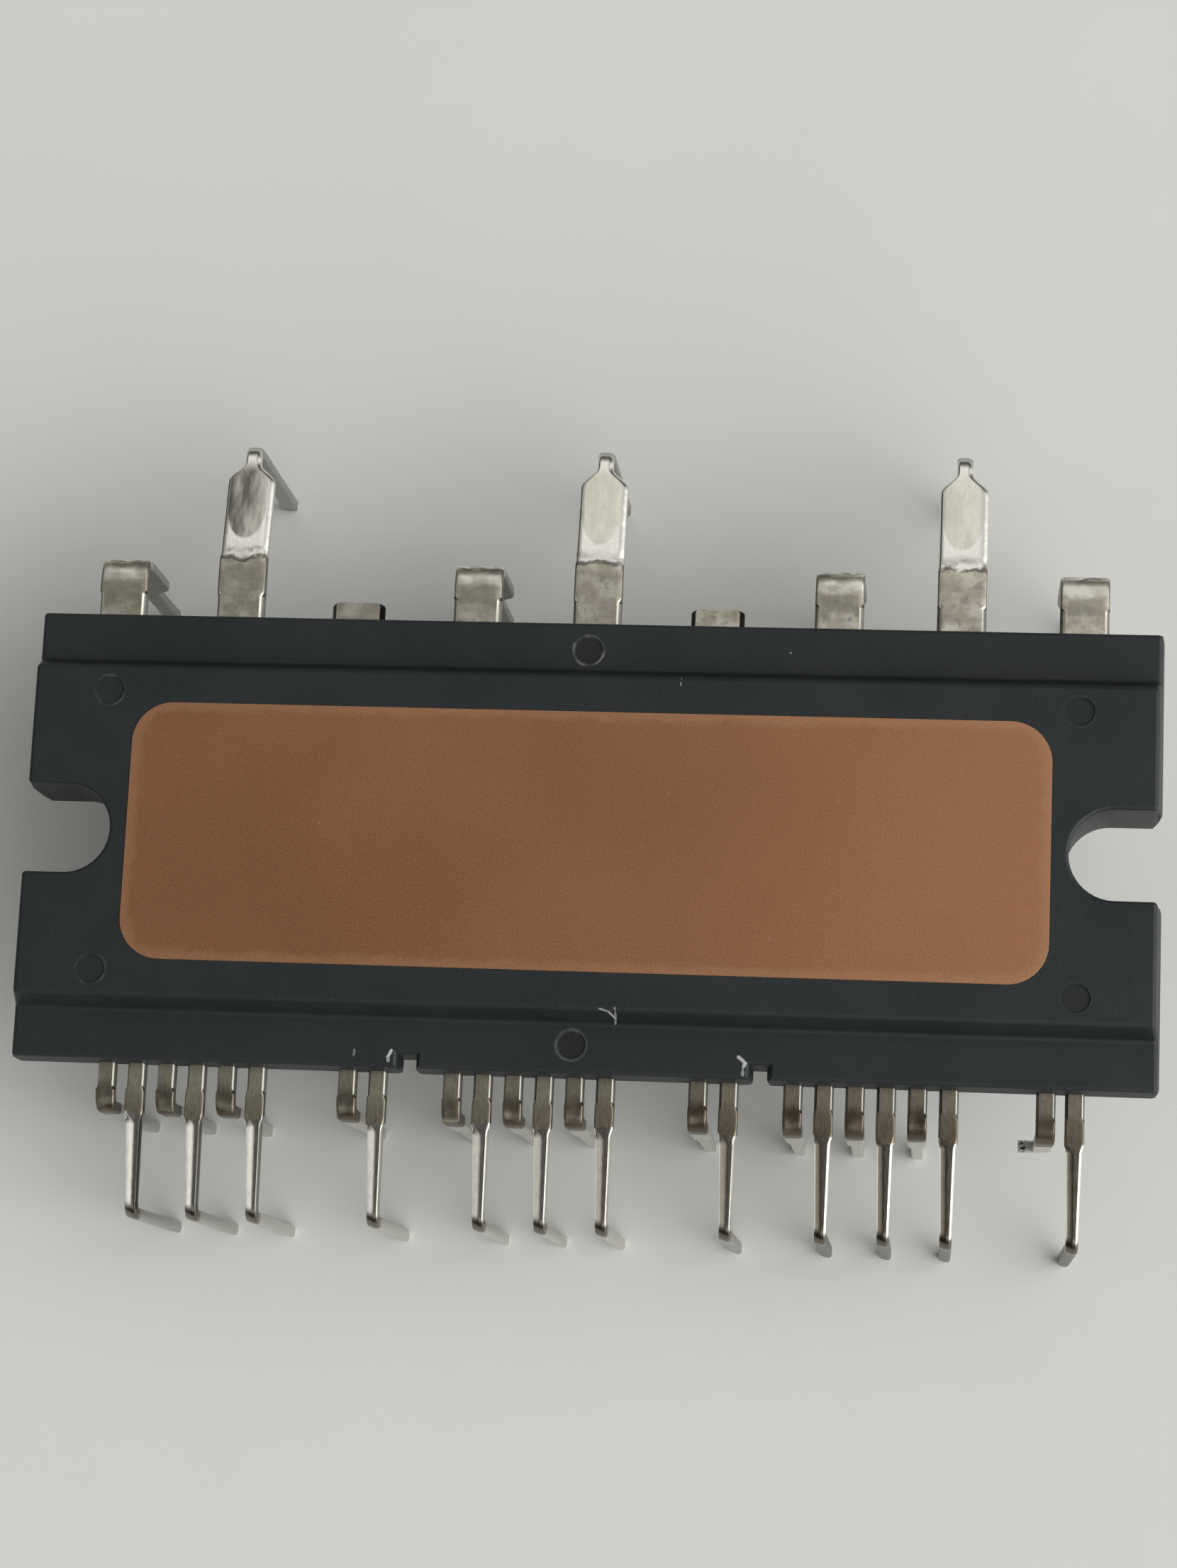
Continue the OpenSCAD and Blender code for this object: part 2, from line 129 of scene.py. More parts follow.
# Pale scuffs on the moulding: two ends, half width and strength of each
SCUFFS = [
    ((-7.61, -8.76, -1.2), (-7.74, -9.02, -1.2), 0.07, 0.95),
    ((-7.75, -9.04, -1.2), (-7.72, -9.18, -1.22), 0.09, 0.55),
    ((6.68, -8.57, -1.2), (6.90, -8.75, -1.2), 0.08, 0.85),
    ((6.96, -8.80, -1.2), (6.90, -8.96, -1.2), 0.08, 0.85),
    ((6.88, -8.99, -1.2), (6.87, -9.16, -1.2), 0.05, 0.45),
    ((6.87, -9.19, -1.2), (6.88, -9.30, -1.22), 0.08, 0.45),
    ((1.01, -6.93, -0.03), (1.38, -7.01, -0.18), 0.06, 0.55),
    ((1.38, -7.01, -0.18), (1.63, -7.22, -0.73), 0.06, 0.7),
    ((1.64, -6.85, 0.0), (1.66, -7.07, -0.33), 0.05, 0.35),
    ((1.66, -7.07, -0.33), (1.59, -7.40, -1.2), 0.05, 0.4),
    ((3.85, 7.05, -0.1), (3.81, 6.62, -0.03), 0.03, 0.45),
    ((8.25, 8.37, -1.2), (8.27, 8.37, -1.2), 0.05, 0.5),
    ((-9.15, -8.80, -1.2), (-9.18, -9.00, -1.2), 0.06, 0.3),
]

# The camera: its place in millimetres, its up and view directions, its lens
CAMERA_AT = Vector((14.816, -24.711, 139.970))
CAMERA_UP = Vector((-0.024676, 0.981008, 0.192390))
CAMERA_VIEW = Vector((-0.102198, 0.188965, -0.976651))
LENS = 79.85
SENSOR = 36.0

# Soft light: direction, strength and narrowness of the key at the right, the fill at the far side
# and the glow high at the left
KEY = (Vector((0.80, -0.31, 0.51)).normalized(), 5.2, 4.2)
FILL = (Vector((-0.06, 0.60, 0.80)).normalized(), 0.95, 14.0)
GLOW = (Vector((-0.70, -0.15, 0.70)).normalized(), 1.0, 18.0)
AMBIENT = 0.045
# The dark patch overhead: its direction, its cosines at the edge and at the middle, and how dark it is
SHADE_DIRECTION = Vector((-0.10, -0.15, 0.98)).normalized()
SHADE_EDGE = 0.81
SHADE_MIDDLE = 0.985
SHADE_DEPTH = 0.74
FLOOR_SIZE = 6.0


class Nodes:
    """A node tree, with short helpers that take sockets or plain values."""

    def __init__(self, tree):
        self.tree = tree

    def put(self, socket, value):
        if isinstance(value, bpy.types.NodeSocket):
            self.tree.links.new(value, socket)
        else:
            socket.default_value = value

    def node(self, kind, *values, **settings):
        made = self.tree.nodes.new(kind)
        for key, value in settings.items():
            setattr(made, key, value)
        for socket, value in zip(made.inputs, values):
            if value is not None:
                self.put(socket, value)
        return made

    def math(self, operation, a, b=None, clamp=False):
        return self.node("ShaderNodeMath", a, b, operation=operation, use_clamp=clamp).outputs[0]

    def vector(self, operation, a, b=None):
        made = self.node("ShaderNodeVectorMath", a, b, operation=operation)
        scalar = operation in ("LENGTH", "DISTANCE", "DOT_PRODUCT")
        return made.outputs["Value" if scalar else "Vector"]

    def place(self):
        """The point on the surface, in millimetres."""
        point = self.node("ShaderNodeTexCoord").outputs["Object"]
        return self.vector("MULTIPLY", point, (1 / MM,) * 3)

    def attribute(self, name):
        return self.node("ShaderNodeAttribute", attribute_name=name).outputs["Fac"]

    def noise(self, point, per_mm, detail=2.0, rough=0.5):
        made = self.node("ShaderNodeTexNoise")
        self.put(made.inputs["Vector"], point)
        made.inputs["Scale"].default_value = per_mm
        made.inputs["Detail"].default_value = detail
        made.inputs["Roughness"].default_value = rough
        return made.outputs["Fac"]

    def ease(self, value, start, end, low=0.0, high=1.0):
        """A smooth change from low to high while value goes from start to end."""
        made = self.node("ShaderNodeMapRange", interpolation_type="SMOOTHSTEP")
        self.put(made.inputs["Value"], value)
        self.put(made.inputs["From Min"], start)
        self.put(made.inputs["From Max"], end)
        made.inputs["To Min"].default_value = low
        made.inputs["To Max"].default_value = high
        return made.outputs["Result"]

    def blend(self, share, a, b):
        made = self.node("ShaderNodeMix", data_type="RGBA")
        self.put(made.inputs["Factor"], share)
        self.put(made.inputs["A"], a)
        self.put(made.inputs["B"], b)
        return made.outputs["Result"]

    def curve(self, value, length, stops):
        """A value that follows the stops (place, value) along a length."""
        ramp = self.node("ShaderNodeValToRGB", self.math("DIVIDE", value, length))
        elements = ramp.color_ramp.elements
        while len(elements) < len(stops):
            elements.new(0.5)
        for element, (place, level) in zip(elements, stops):
            element.position = place / length
            element.color = (level, level, level, 1.0)
        return ramp.outputs["Color"]

    def bump(self, height, distance_mm, strength=1.0, normal=None):
        made = self.node("ShaderNodeBump")
        made.inputs["Strength"].default_value = strength
        made.inputs["Distance"].default_value = distance_mm * MM
        self.put(made.inputs["Height"], height)
        if normal is not None:
            self.put(made.inputs["Normal"], normal)
        return made.outputs["Normal"]


class Shader(Nodes):
    """One material with a single principled surface."""

    def __init__(self, name, metallic=0.0):
        self.material = bpy.data.materials.new(name)
        self.material.use_nodes = True
        super().__init__(self.material.node_tree)
        self.surface = self.tree.nodes["Principled BSDF"]
        self.surface.inputs["Metallic"].default_value = metallic

    def finish(self, colour, roughness, normal=None):
        self.put(self.surface.inputs["Base Color"], colour)
        self.put(self.surface.inputs["Roughness"], roughness)
        if normal is not None:
            self.put(self.surface.inputs["Normal"], normal)
        return self.material


def rgb(red, green, blue):
    return (red, green, blue, 1.0)


def segment_distance(shader, point, start, end):
    """Distance in millimetres from the surface to a straight scuff."""
    run = Vector(end) - Vector(start)
    from_start = shader.vector("SUBTRACT", point, start)
    share = shader.math("DIVIDE", shader.vector("DOT_PRODUCT", from_start, run), run.length_squared, True)
    scaled = shader.node("ShaderNodeVectorMath", tuple(run), operation="SCALE")
    shader.put(scaled.inputs["Scale"], share)
    return shader.vector("LENGTH", shader.vector("SUBTRACT", from_start, scaled.outputs["Vector"]))


def moulding_material():
    """Dark filled epoxy: fine grain, faint clouds, ejector marks with pale rings, scuffs."""
    s = Shader("moulding")
    s.surface.inputs["Specular IOR Level"].default_value = 0.37
    point = s.place()
    grain = s.noise(point, 14.0, 3.0, 0.65)
    cloud = s.noise(point, 0.22, 3.0, 0.55)
    ragged = s.noise(point, 5.0, 3.0, 0.6)
    patchy = s.noise(point, 1.4, 1.0, 0.5)
    colour = s.blend(s.ease(cloud, 0.3, 0.7), rgb(0.0082, 0.0116, 0.0130), rgb(0.0122, 0.0152, 0.0166))
    colour = s.blend(s.ease(grain, 0.55, 0.8, 0.0, 0.5), colour, rgb(0.026, 0.028, 0.028))
    pale = 0.0
    disc = 0.0
    for centre, strength, broken, dark in MARKS:
        radius = s.vector("DISTANCE", point, centre)
        wavy = s.math("ADD", radius, s.math("MULTIPLY", s.math("SUBTRACT", ragged, 0.5), 0.12))
        off_ring = s.math("ABSOLUTE", s.math("SUBTRACT", wavy, MARK_D / 2 + 0.03))
        ring = s.ease(off_ring, 0.01, 0.10, strength, 0.0)
        pale = s.math("MAXIMUM", pale, s.math("MULTIPLY", ring, s.ease(patchy, 0.4, 0.6, 1 - broken, 1.0)))
        disc = s.math("MAXIMUM", disc, s.ease(radius, MARK_D / 2 - 0.08, MARK_D / 2, dark, 0.0))
    for start, end, half, strength in SCUFFS:
        away = segment_distance(s, point, start, end)
        reach = s.math("MULTIPLY", s.math("ADD", ragged, 0.5), half)
        scuff = s.ease(s.math("DIVIDE", away, reach), 0.5, 1.1, strength, 0.0)
        pale = s.math("MAXIMUM", pale, scuff)
    colour = s.blend(disc, colour, rgb(0.004, 0.005, 0.005))
    colour = s.blend(pale, colour, rgb(0.46, 0.47, 0.45))
    roughness = s.ease(grain, 0.3, 0.7, 0.46, 0.60)
    normal = s.bump(grain, 0.012, 0.6)
    normal = s.bump(s.noise(point, 3.0, 2.0), 0.02, 0.35, normal)
    return s.finish(colour, roughness, normal)


def copper_material():
    """Satin bare copper: fine grain, soft clouds, a slightly paler, ragged border and a painted highlight
    towards the right end.
    """
    s = Shader("copper", metallic=1.0)
    point = s.place()
    axes = s.node("ShaderNodeSeparateXYZ", point)
    over_x = s.math("SUBTRACT", s.math("ABSOLUTE", axes.outputs["X"]), COPPER_L / 2 - COPPER_R)
    over_y = s.math("SUBTRACT", s.math("ABSOLUTE", axes.outputs["Y"]), COPPER_W / 2 - COPPER_R)
    beyond_x = s.math("MAXIMUM", over_x, 0.0)
    beyond_y = s.math("MAXIMUM", over_y, 0.0)
    beyond = s.vector("LENGTH", s.node("ShaderNodeCombineXYZ", beyond_x, beyond_y, 0.0).outputs[0])
    inside = s.math("MINIMUM", s.math("MAXIMUM", over_x, over_y), 0.0)
    edge = s.math("SUBTRACT", s.math("ADD", beyond, inside), COPPER_R)
    ragged = s.noise(point, 1.1, 4.0, 0.6)
    border_edge = s.math("ADD", edge, s.math("MULTIPLY", s.math("SUBTRACT", ragged, 0.5), 0.7))
    border = s.ease(border_edge, -0.55, -0.15)
    grain = s.noise(point, 11.0, 4.0, 0.7)
    cloud = s.noise(point, 0.12, 2.0, 0.5)
    blotch = s.noise(point, 0.5, 2.0, 0.5)
    colour = s.blend(s.ease(cloud, 0.3, 0.7), rgb(0.362, 0.169, 0.086), rgb(0.412, 0.195, 0.101))
    colour = s.blend(s.ease(blotch, 0.45, 0.75, 0.0, 0.2), colour, rgb(0.34, 0.155, 0.077))
    # Painted light: the copper grows paler towards its right end, where the key light falls stronger
    colour = s.blend(s.ease(axes.outputs["X"], 0.0, COPPER_L / 2, 0.0, 0.7), colour, rgb(0.47, 0.222, 0.116))
    colour = s.blend(s.ease(grain, 0.45, 0.8, 0.0, 0.3), colour, rgb(0.50, 0.256, 0.138))
    colour = s.blend(s.math("MULTIPLY", border, 0.5), colour, rgb(0.53, 0.292, 0.167))
    speck = s.node("ShaderNodeTexVoronoi", point)
    speck.inputs["Scale"].default_value = 0.55
    colour = s.blend(s.ease(speck.outputs["Distance"], 0.02, 0.05, 0.35, 0.0), colour, rgb(0.60, 0.38, 0.25))
    roughness = s.ease(grain, 0.3, 0.7, 0.42, 0.52)
    return s.finish(colour, roughness, s.bump(grain, 0.006, 0.5))


# Solder, the darker solder on the power leads' tails, which is painted shade, and the share that those lose
# at a low angle
SOLDER = rgb(0.82, 0.805, 0.75)
SHADED_POWER_TAIL = rgb(0.50, 0.49, 0.465)
POWER_TAIL_LOSS = 0.25

# Places on the leads, in millimetres along them from the body
POWER_DIP = 2.65
POWER_TAIL_AT = 7.8
INNER_POWER_DIP = 2.32
INNER_POWER_TAIL_AT = 2.9
HIGHLIGHT_BAND_AT = 1.85
SHADE_PATCH_AT = 1.15
SIGNAL_DIP = 2.1
SIGNAL_TIP_AT = 6.4
SIGNAL_TAIL_AT = 6.5
INNER_SIGNAL_DIP = 2.9
INNER_SIGNAL_TAIL_AT = 2.7
BROKEN_TEAR_AT = 5.68

# Stretches of X on which the signal leads' stains grow stronger, their painted reflections darken and the
# power leads' plating grows lighter; on which the right rims of the signal leads' slopes grow lighter, a
# painted shade that darkens them at the left; and on which their tails' painted reflections grow paler and
# then darker
STAIN_AND_SHEEN_X = (-20.0, 14.0)
RIM_LIGHTER = (-20.0, 2.0)
TAIL_PALER = (-19.0, -11.0)
TAIL_DARKER = (4.0, 10.0)

# The duller core of an outer power lead's slope: a half oval, open towards the tail
CORE_FROM_DIP = 2.3
CORE_L = 1.45
CORE_HALF_W = 0.84
CORE_LEFT = 0.04
CORE_FADE = (6.6, 7.3)

# The X up to which the bus has trimmed stubs whose sides are painted black: shade together with black resin
# flash
LAST_STUB_X = 14.0

# The length that the stops of the brown plating cover
BROWN_L = 4.0


class LeadShader(Shader):
    """A lead's surface: bare plating beside the body, bright solder from the dip line outwards.

    Places on a lead come with its mesh: millimetres along it from the body, across it from its
    middle line, and inwards from its nearer side.
    """

    def __init__(self, name):
        super().__init__(name, metallic=1.0)
        self.point = self.place()
        self.along = self.attribute("along")
        self.across = self.attribute("across")
        self.inset = self.attribute("inset")
        self.x = self.node("ShaderNodeSeparateXYZ", self.point).outputs["X"]
        self.right = self.ease(self.x, *STAIN_AND_SHEEN_X)
        self.sheared = 0.0
        self.grain = self.noise(self.vector("MULTIPLY", self.point, (9.0, 3.0, 3.0)), 1.0, 3.0, 0.6)

    def product(self, *values):
        result = values[0]
        for value in values[1:]:
            result = self.math("MULTIPLY", result, value)
        return result

    def shifted(self, value, per_mm, amount, detail=3.0):
        """The value moved up and down by a noise of the given size."""
        wave = self.math("SUBTRACT", self.noise(self.point, per_mm, detail, 0.6), 0.5)
        return self.math("ADD", value, self.math("MULTIPLY", wave, 2 * amount))

    def band(self, value, centre, half, soft, strength):
        """Strength inside the band round a centre, fading to nothing over the soft width."""
        away = self.math("ABSOLUTE", self.math("SUBTRACT", value, centre))
        return self.ease(away, half, half + soft, strength, 0.0)

    def edges(self, colour, bevel, left, right):
        """The sheared sides beside the body: a painted highlight line at the right, and a black strip below,
        painted shade with black resin flash.

        left and right are the strength of the black strip and the share of the bevel that it covers.
        """
        near = self.ease(self.shifted(self.along, 4.0, 0.12), DAM_L - 0.1, DAM_L, 1.0, 0.0)
        at_right = self.ease(self.across, -0.01, 0.01)
        side = self.ease(self.inset, 0.85 * bevel, 1.05 * bevel, 0.9, 0.0)
        self.sheared = self.product(near, side, at_right)
        # Painted highlight: the sheared right edge is made pale so that it shines
        colour = self.blend(self.sheared, colour, rgb(0.93, 0.91, 0.84))
        # Painted shade, with black resin flash: the black strip on the lower part of the sheared sides
        strength = self.ease(at_right, 0.0, 1.0, left[0], right[0])
        reach = self.ease(at_right, 0.0, 1.0, left[1] * bevel, right[1] * bevel)
        low = self.ease(self.math("SUBTRACT", self.inset, reach), -0.1 * bevel, 0.1 * bevel, 1.0, 0.0)
        return self.blend(self.product(near, low, strength), colour, rgb(0.008, 0.008, 0.007))

    def close(self, colour, dipped, tail, tail_loss, smooth=0.15, sheared_rough=0.0):
        """Roughness and bump. The tail, where tail is 1, is duller and loses a share at a low angle.

        smooth is the roughness of the solder, and sheared_rough is what the sheared sides add.
        """
        colour = self.blend(self.ease(self.grain, 0.5, 0.8, 0.0, 0.08), colour, rgb(0.30, 0.28, 0.24))
        worn = self.ease(self.grain, 0.3, 0.7, 0.0, 0.06)
        roughness = self.math("ADD", self.ease(dipped, 0.0, 1.0, 0.33, smooth), worn)
        roughness = self.math("ADD", roughness, self.math("MULTIPLY", tail, 0.12))
        if sheared_rough:
            roughness = self.math("ADD", roughness, self.math("MULTIPLY", self.sheared, sheared_rough))
        normal = self.bump(self.noise(self.point, 2.2, 2.0, 0.5), 0.02, 0.5)
        tint = self.math("SUBTRACT", 1.0, self.math("MULTIPLY", tail, tail_loss))
        self.put(self.surface.inputs["Specular Tint"], tint)
        return self.finish(colour, roughness, self.bump(self.grain, 0.003, 0.3, normal))


def power_material(name, dip, tail, core=None, bands=False, stubs=False):
    """Beige, blotchy plating, then solder from the dip line, duller and darker from the start of the tail,
    the darkness a painted shade.

    core holds the dark and the light tone of the duller middle of an outer lead's slope. bands adds a
    painted highlight band at the bend and a patch of painted shade across the lead. stubs makes the sheared
    sides of the stubs black, painted shade with black resin flash.
    """
    s = LeadShader(name)
    line = s.shifted(s.along, 1.3, 0.30)
    dipped = s.ease(line, dip - 0.05, dip + 0.05)
    blotch = s.ease(s.noise(s.point, 1.0, 3.0, 0.55), 0.42, 0.62)
    dark = s.blend(s.right, rgb(0.48, 0.447, 0.36), rgb(0.58, 0.54, 0.44))
    light = s.blend(s.right, rgb(0.64, 0.608, 0.515), rgb(0.80, 0.76, 0.65))
    colour = s.blend(blotch, dark, light)
    swirl = s.ease(s.noise(s.point, 2.4, 2.0, 0.6), 0.55, 0.66, 0.0, 0.6)
    colour = s.blend(swirl, colour, rgb(0.40, 0.375, 0.32))
    # Painted light on the inner leads: a highlight band at the bend and a patch of shade on the paddle
    if bands:
        patchy = s.ease(s.noise(s.point, 0.9, 2.0), 0.4, 0.6, 0.3, 1.0)
        lit = s.product(s.band(line, HIGHLIGHT_BAND_AT, 0.12, 0.15, 0.8), patchy)
        colour = s.blend(lit, colour, rgb(0.86, 0.84, 0.77))
        off_rims = s.ease(s.shifted(s.inset, 1.5, 0.15), 0.2, 0.35)
        painted_shade = s.product(s.band(line, SHADE_PATCH_AT, 0.3, 0.15, 0.65), off_rims)
        colour = s.blend(painted_shade, colour, rgb(0.40, 0.375, 0.30))
    rim = s.ease(s.inset, 0.04, 0.10, 0.8, 0.0)
    colour = s.blend(rim, colour, rgb(0.12, 0.112, 0.092))
    edged = s.edges(colour, POWER_BEVEL, (0.7, 0.6), (0.6, 0.6))
    # Painted shade with black resin flash: the stubs' sheared sides are black on both sides
    if stubs:
        black = s.edges(colour, POWER_BEVEL, (1.0, 1.0), (1.0, 1.0))
        edged = s.blend(s.math("LESS_THAN", s.x, LAST_STUB_X), edged, black)
    solder = SOLDER
    if core:
        before = s.math("DIVIDE", s.math("SUBTRACT", dip + CORE_FROM_DIP, s.along), CORE_L)
        below = s.math("MAXIMUM", before, 0.0)
        aside = s.math("DIVIDE", s.math("ADD", s.across, CORE_LEFT), CORE_HALF_W)
        oval = s.vector("LENGTH", s.node("ShaderNodeCombineXYZ", below, aside, 0.0).outputs[0])
        inside = s.ease(s.shifted(oval, 1.2, 0.05), 0.92, 1.04, 1.0, 0.0)
        inside = s.product(inside, s.ease(s.inset, 0.13, 0.22), s.ease(s.along, *CORE_FADE, 1.0, 0.0))
        streak = s.noise(s.vector("MULTIPLY", s.point, (2.2, 0.6, 0.6)), 1.0, 2.0, 0.5)
        lean = s.math("ADD", streak, s.math("MULTIPLY", s.across, 0.18))
        solder = s.blend(inside, SOLDER, s.blend(s.ease(lean, 0.30, 0.72), *core))
    stain = s.product(s.band(line, dip + 0.2, 0.15, 0.2, 0.6), s.ease(s.noise(s.point, 1.9, 2.0), 0.48, 0.6))
    solder = s.blend(stain, solder, rgb(0.33, 0.30, 0.25))
    on_tail = s.ease(s.along, tail - 0.5, tail)
    # Painted shade: the tails, down in the shade of the body, are darkened
    solder = s.blend(on_tail, solder, SHADED_POWER_TAIL)
    colour = s.blend(dipped, edged, solder)
    smear = s.product(s.band(line, dip, 0.03, 0.10, 0.9), s.ease(s.noise(s.point, 1.7, 2.0), 0.35, 0.55))
    colour = s.blend(smear, colour, rgb(0.15, 0.14, 0.12))
    return s.close(colour, dipped, on_tail, POWER_TAIL_LOSS)


def signal_material(name, dip, tail, brown, brown_stops, tail_reflection_tones, tail_losses, black, torn_from=None):
    """Olive plating that turns brown towards the bend, then solder with painted reflections, and painted
    shade at the tail's bend.

    brown_stops say how brown the plating is along the lead, and black is the black strip of its sheared
    sides. tail_reflection_tones are the tail's tones on the leads at the left, in the middle and at the
    right, painted reflections of the floor and its shade, and tail_losses are the shares that it loses at a
    low angle at the left and at the right. torn_from is where the rough, dark end of a broken lead starts.
    """
    s = LeadShader(name)
    line = s.shifted(s.along, 2.0, 0.08)
    uneven = s.noise(s.vector("MULTIPLY", s.point, (0.45, 0.0, 0.0)), 1.0, 0.0)
    line = s.math("ADD", line, s.ease(uneven, 0.3, 0.7, 0.18, -0.18))
    dipped = s.ease(line, dip - 0.04, dip + 0.04)
    stained = s.shifted(s.curve(line, BROWN_L, brown_stops), 1.6, 0.22)
    more = s.product(s.ease(s.right, 0.5, 1.0, 0.0, 0.4), s.ease(s.along, 0.5, 1.2))
    stained = s.math("ADD", stained, more, clamp=True)
    olive = s.blend(s.right, rgb(0.52, 0.495, 0.39), rgb(0.335, 0.295, 0.23))
    colour = s.blend(stained, olive, brown)
    rim = s.ease(s.inset, 0.03, 0.07, 0.7, 0.0)
    colour = s.blend(rim, colour, rgb(0.10, 0.09, 0.07))
    colour = s.edges(colour, SIGNAL_BEVEL, *black)
    # Painted reflections on the tops: the left rims and the middles are pale on the leads at the left and
    # dark at the right, and the right rims are painted shade at the left
    middle = s.ease(s.inset, 0.08, 0.14, 0.0, 0.8)
    left_rim = s.blend(s.right, rgb(0.96, 0.945, 0.90), rgb(0.26, 0.228, 0.18))
    lit = s.ease(s.x, *RIM_LIGHTER)
    right_rim = s.blend(lit, rgb(0.03, 0.028, 0.024), rgb(0.62, 0.61, 0.56))
    rims = s.blend(s.ease(s.across, -0.05, 0.15), left_rim, right_rim)
    solder = s.blend(middle, rims, s.blend(s.right, rgb(0.90, 0.88, 0.80), rgb(0.29, 0.254, 0.198)))
    # Painted shade: the edges keep the bright solder only where the right rims are lit
    solder = s.blend(s.product(s.ease(s.inset, 0.03, 0.06, 0.8, 0.0), lit), solder, SOLDER)
    # Painted shade: the tail's bend is darkened where it turns down away from the light
    tip = s.band(s.shifted(s.along, 2.0, 0.05), SIGNAL_TIP_AT, 0.45, 0.12, 0.9)
    solder = s.blend(tip, solder, rgb(0.15, 0.132, 0.108))
    on_tail = s.ease(s.along, tail, tail + 0.3)
    # Painted reflections: the tails take tones that stand in for the floor and its shade, paler in the
    # middle, darker at the right
    at_left, at_middle, at_right = [rgb(tone, 0.98 * tone, 0.93 * tone) for tone in tail_reflection_tones]
    tail_colour = s.blend(s.ease(s.x, *TAIL_PALER), at_left, at_middle)
    tail_colour = s.blend(s.ease(s.x, *TAIL_DARKER), tail_colour, at_right)
    solder = s.blend(on_tail, solder, tail_colour)
    loss = s.ease(s.right, 0.7, 1.0, *tail_losses)
    colour = s.blend(dipped, colour, solder)
    if torn_from:
        torn = s.ease(s.shifted(s.along, 3.0, 0.15), torn_from, torn_from + 0.15)
        specks = s.ease(s.noise(s.point, 5.0, 1.0), 0.42, 0.58)
        colour = s.blend(torn, colour, s.blend(specks, rgb(0.03, 0.028, 0.025), rgb(0.62, 0.61, 0.58)))
    return s.close(colour, dipped, on_tail, loss, smooth=0.2, sheared_rough=0.4)


def plain_material(name, dark, light, per_mm, roughness, metallic=0.0):
    """A sealed-in piece: two close tones, a fine grain and a matching bump."""
    s = Shader(name, metallic)
    grain = s.noise(s.place(), per_mm, 3.0, 0.6)
    colour = s.blend(grain, dark, light)
    return s.finish(colour, s.ease(grain, 0.3, 0.7, roughness, roughness + 0.12), s.bump(grain, 0.004))


# Lead sections and sweeps, in millimetres

CORNER_STEPS = 5
TOP_STEPS = 10
FOOT_R = 0.06
STEP = 0.11
TAIL_STEP = 3 * STEP
BEND_STEPS = 10
SHARP_ANGLE = math.radians(38)
# How far inside the body's wall the fine steps of a lead start
INSIDE_WALL = 0.12
# Where the sheared edge gives way to the rim, how round it is, and the most of a half width it covers
SHEARED_END = (DAM_L - 0.05, DAM_L + 0.1)
SHEARED_ROUND = 0.2
EDGE_MOST = 0.6
# The size of a lead's last section, as a share of the sections before it
TIP_SHARE = 0.8
# The length from the body on which dents grow to their depth, and how close dents and crumples are
DENT_GROWS = 0.3
DENTS_PER_MM = 0.8
CRUMPLES_PER_MM = 1.7


class Station:
    """One cross-section of a lead: its middle, its side and top directions and its edge shape."""

    def __init__(self, middle, side, top, along):
        self.middle = Vector(middle)
        self.side = Vector(side)
        self.top = Vector(top)
        self.along = along
        self.half = 0.0
        self.thick = LEAD_T
        self.edge_w = 0.0
        self.edge_d = 0.0
        self.roundness = 1.0
        self.left = 1.0

    def outline(self):
        """Points (across, height, is top) round the section, from the left top edge clockwise."""
        half, up = self.half, self.thick / 2
        right_w, left_w = self.edge_w, self.edge_w * self.left
        corner = []
        for i in range(CORNER_STEPS):
            k = i / (CORNER_STEPS - 1)
            turn = k * math.pi / 2
            out = self.roundness * math.sin(turn) + (1 - self.roundness) * k
            down = self.roundness * (1 - math.cos(turn)) + (1 - self.roundness) * k
            corner.append((1 - out, up - self.edge_d * down))
        points = [(left_w * k - half, y, True) for k, y in reversed(corner)]
        flat = 2 * half - left_w - right_w
        points += [(left_w - half + flat * i / TOP_STEPS, up, True) for i in range(1, TOP_STEPS)]
        points += [(half - right_w * k, y, True) for k, y in corner]
        points += [(half, -up + FOOT_R, False), (half - FOOT_R, -up, False)]
        points += [(-half + FOOT_R, -up, False), (-half, -up + FOOT_R, False)]
        return points


def spaced(start, end, step):
    """Evenly spaced values from start to end, both included, about step apart."""
    count = max(1, math.ceil(abs(end - start) / step))
    return [start + (end - start) * i / count for i in range(count + 1)]


def ease(value, start, end):
    """A smooth change from 0 to 1 while value goes from start to end."""
    share = min(1.0, max(0.0, (value - start) / (end - start)))
    return (1 - math.cos(math.pi * share)) / 2


